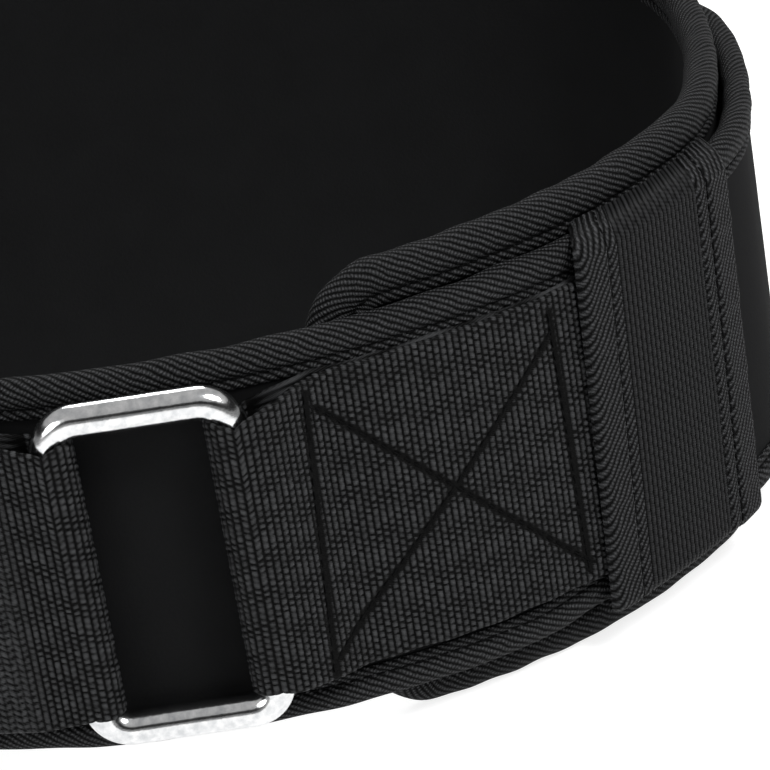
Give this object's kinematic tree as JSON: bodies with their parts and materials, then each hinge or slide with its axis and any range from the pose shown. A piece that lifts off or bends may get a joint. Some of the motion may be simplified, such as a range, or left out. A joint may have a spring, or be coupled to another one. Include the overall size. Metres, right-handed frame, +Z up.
{
  "type": "weightlifting belt",
  "caption": "Padded fabric lifting belt, fastened, standing: bound outer belt in keepers on a taller back pad, webbing straps joined by a rectangular steel ring.",
  "frame": {"origin": "under the middle of the belt's bounding box, on the surface it stands on", "axes": "+Z up, the belt's front with the ring towards -Y, and +X towards the right of a viewer facing the front"},
  "size_m": [0.3274, 0.2652, 0.1555],
  "materials": {
    "padding": "matt",
    "lining": "matt",
    "binding": "twill",
    "webbing": "woven",
    "keeper_web": "ribbed",
    "plated_steel": "bright"
  },
  "bodies": {
    "root": {"back_pad": "padding", "pad_lining": "lining", "pad_binding": "binding", "belt_panel": "lining", "belt_binding": "binding", "ring": "plated_steel", "ring_strap": "webbing", "closure_strap": "webbing", "right_keeper": "keeper_web", "right_keeper_front_hem": "binding", "right_keeper_rear_hem": "binding", "left_keeper": "keeper_web", "left_keeper_front_hem": "binding", "left_keeper_rear_hem": "binding"}
  },
  "joints": []
}
